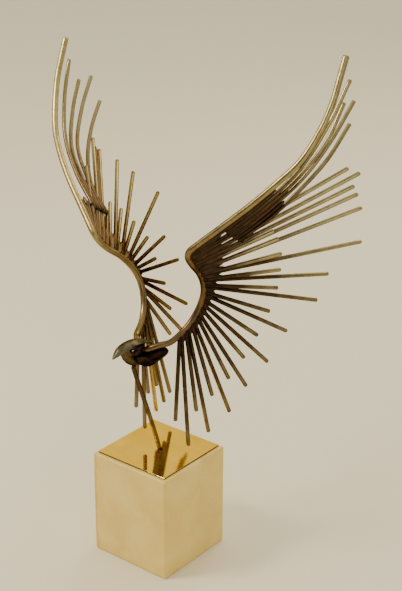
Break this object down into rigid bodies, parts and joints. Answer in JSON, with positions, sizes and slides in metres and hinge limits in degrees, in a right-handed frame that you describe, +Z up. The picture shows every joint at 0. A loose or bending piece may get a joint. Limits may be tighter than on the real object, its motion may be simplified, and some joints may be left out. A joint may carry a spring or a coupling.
{
  "type": "bird sculpture",
  "caption": "Welded brass-rod bird in flight, wings raised, carried by a leg rod on a square honey-stone block with a thin brass plate.",
  "frame": {"origin": "middle of the stone block's underside, where the sculpture stands", "axes": "+Z up; the bird flies towards -Y, so its left wing is on the +X side"},
  "size_m": [0.3743, 0.2652, 0.5614],
  "materials": {
    "rods": "antiqued satin rod, dark in the recesses",
    "sheet": "hammered and antiqued sheet",
    "plate": "polished",
    "stone": "honed honey-coloured alabaster"
  },
  "bodies": {
    "root": {"stone_block": "stone", "brass_plate": "plate", "leg_rod": "rods", "head_cap": "sheet", "throat": "sheet", "body_shell": "sheet", "left_wing_rod": "rods", "left_primaries": "rods", "left_feather_04": "rods", "left_feather_05": "rods", "left_feather_06": "rods", "left_feather_07": "rods", "left_feather_08": "rods", "left_feather_09": "rods", "left_feather_10": "rods", "left_feather_11": "rods", "left_feather_12": "rods", "left_feather_13": "rods", "left_feather_14": "rods", "left_feather_15": "rods", "left_feather_16": "rods", "left_feather_17": "rods", "left_feather_18": "rods", "left_feather_19": "rods", "left_feather_20": "rods", "left_feather_21": "rods", "left_feather_22": "rods", "left_feather_23": "rods", "left_feather_24": "rods", "left_feather_25": "rods", "left_feather_26": "rods", "right_wing_rod": "rods", "right_primaries": "rods", "right_feather_04": "rods", "right_feather_05": "rods", "right_feather_06": "rods", "right_feather_07": "rods", "right_feather_08": "rods", "right_feather_09": "rods", "right_feather_10": "rods", "right_feather_11": "rods", "right_feather_12": "rods", "right_feather_13": "rods", "right_feather_14": "rods", "right_feather_15": "rods", "right_feather_16": "rods", "right_feather_17": "rods", "right_feather_18": "rods", "right_feather_19": "rods", "right_feather_20": "rods", "right_feather_21": "rods", "right_feather_22": "rods", "right_feather_23": "rods", "right_feather_24": "rods", "right_feather_25": "rods", "right_feather_26": "rods"}
  },
  "joints": []
}
